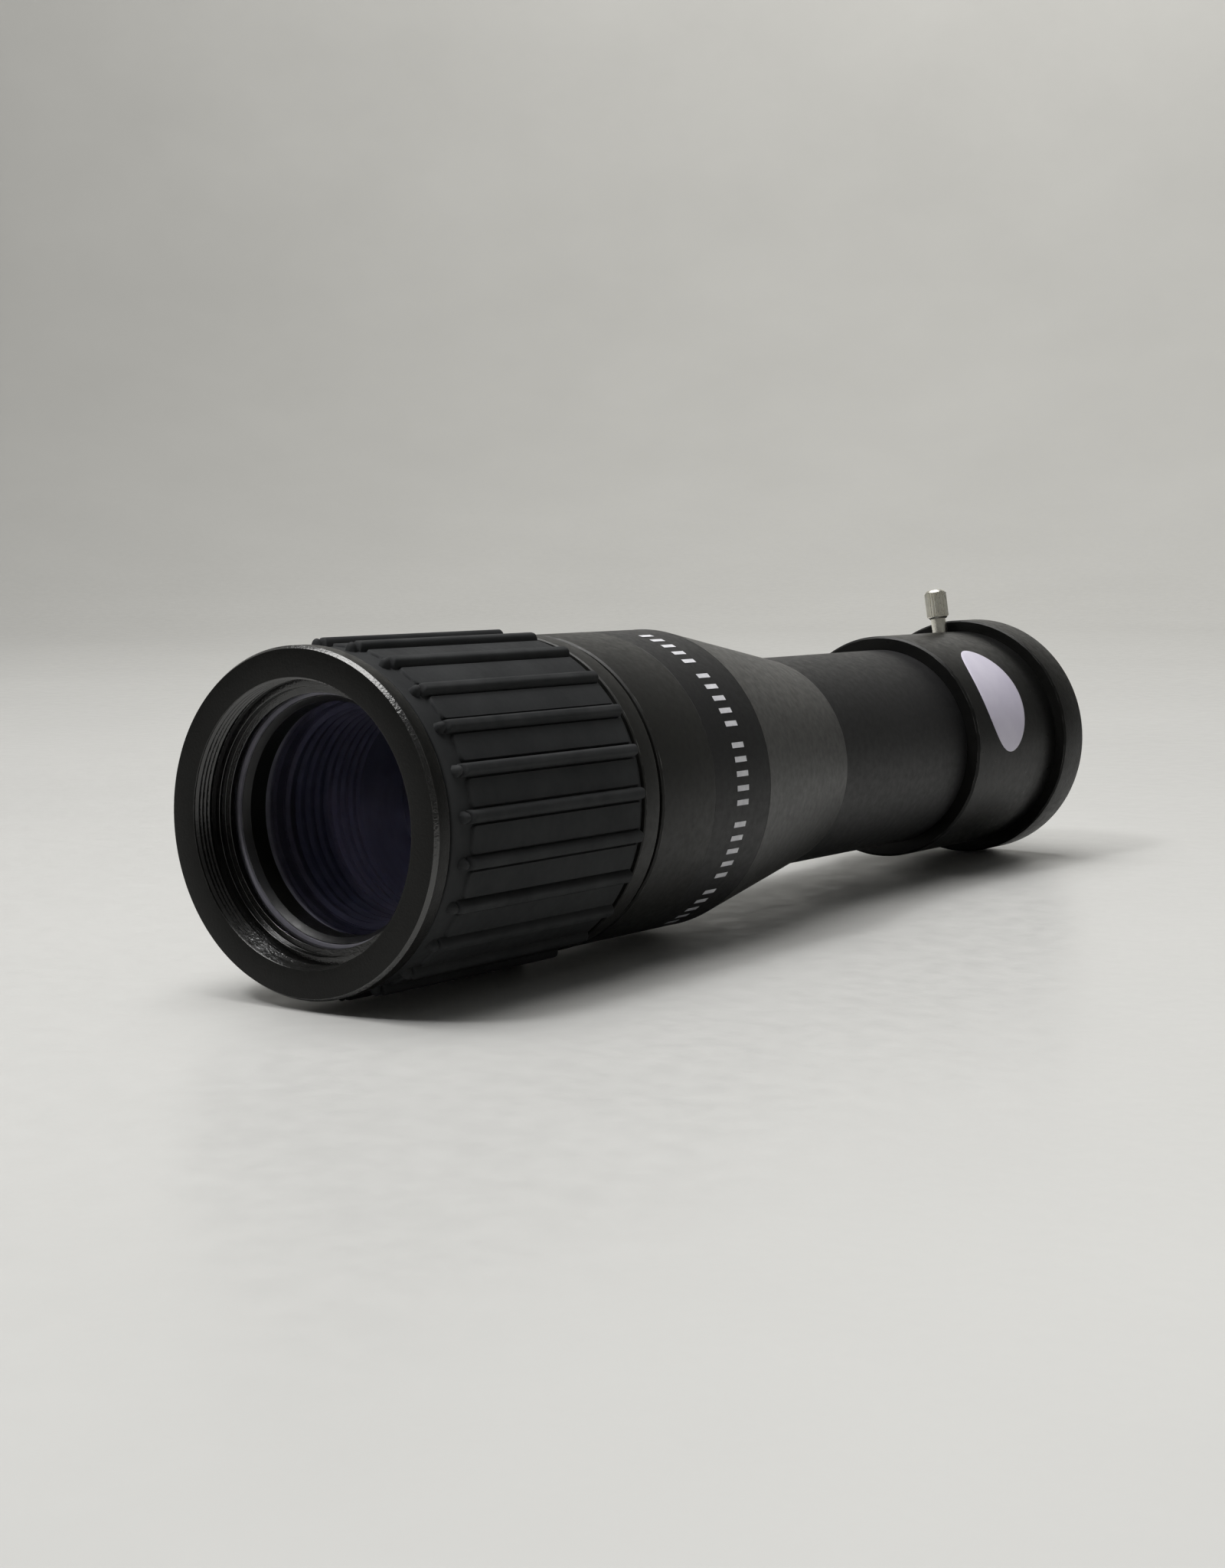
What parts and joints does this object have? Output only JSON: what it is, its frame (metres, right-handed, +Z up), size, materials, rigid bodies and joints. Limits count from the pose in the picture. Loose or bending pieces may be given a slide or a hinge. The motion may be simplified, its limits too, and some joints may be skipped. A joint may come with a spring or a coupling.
{
  "type": "barlow lens",
  "caption": "Barlow lens with a ribbed rubber focusing grip, sliding doublet cell, tapered barrel, eyepiece socket and clamping thumbscrew.",
  "frame": {"origin": "on the optical axis at the mouth of the front thread, in the plane of the front face", "axes": "+Y along the optical axis from the lens end to the eyepiece end, +Z up with the barrel lying on its side, +X to the side that carries the label"},
  "size_m": [0.0526, 0.2063, 0.0567],
  "materials": {
    "black_anodised": "satin anodised",
    "matt_black_metal": "matt",
    "bare_aluminium": "turned",
    "rubber": "matt",
    "black_plastic": "matt",
    "white_ink": "printed",
    "flock_paper": "flocked",
    "label_paper": "satin",
    "felt": "felt",
    "coated_glass": "anti-reflection coated",
    "brass": "turned",
    "nickel": "bright nickel"
  },
  "bodies": {
    "barrel": {"front_ring": "black_anodised", "inner_tube": "black_anodised", "slip_ring": "black_plastic", "body_front_band": "black_anodised", "body_tube": "black_anodised", "index_marks": "white_ink", "body_baffle": "matt_black_metal", "taper_cone": "black_anodised", "taper_baffle": "matt_black_metal", "neck_tube": "black_anodised", "neck_liner": "flock_paper", "eyepiece_holder": "black_anodised", "socket_stop_ring": "matt_black_metal", "compression_ring": "brass", "end_flange": "black_anodised", "oval_label": "label_paper"},
    "grip": {"grip_sleeve": "bare_aluminium", "drag_ring": "felt", "rubber_grip": "rubber", "grip_end_ring": "black_anodised"},
    "lens_carriage": {"lens_cell": "black_anodised", "retaining_ring": "black_anodised", "front_lens": "coated_glass", "rear_lens": "coated_glass", "cell_spacer": "matt_black_metal", "baffle_sleeve": "matt_black_metal", "drive_pins": "brass"},
    "clamp": {"clamp_tip": "brass"},
    "screw": {"thumbscrew": "nickel"}
  },
  "joints": [
    {"name": "grip_turn", "type": "hinge", "parent": "barrel", "child": "grip", "pos_m": [0, 0.03, 0], "axis": [0, 1, 0], "range_deg": [0, 100]},
    {"name": "lens_slide", "type": "slide", "parent": "barrel", "child": "lens_carriage", "axis": [0, 1, 0], "range_m": [0, 0.01201]},
    {"name": "clamp_slide", "type": "slide", "parent": "barrel", "child": "clamp", "axis": [-0.1564, 0, 0.9877], "range_m": [0, 0.0025]},
    {"name": "screw_turn", "type": "hinge", "parent": "clamp", "child": "screw", "pos_m": [0, 0.1952, 0], "axis": [-0.1564, 0, 0.9877], "range_deg": [0, 1801]}
  ],
  "couplings": [
    {"joint": "lens_slide", "follows": "grip_turn", "m_per_rad": 0.0068755},
    {"joint": "screw_turn", "follows": "clamp_slide", "rad_per_m": 12566}
  ]
}
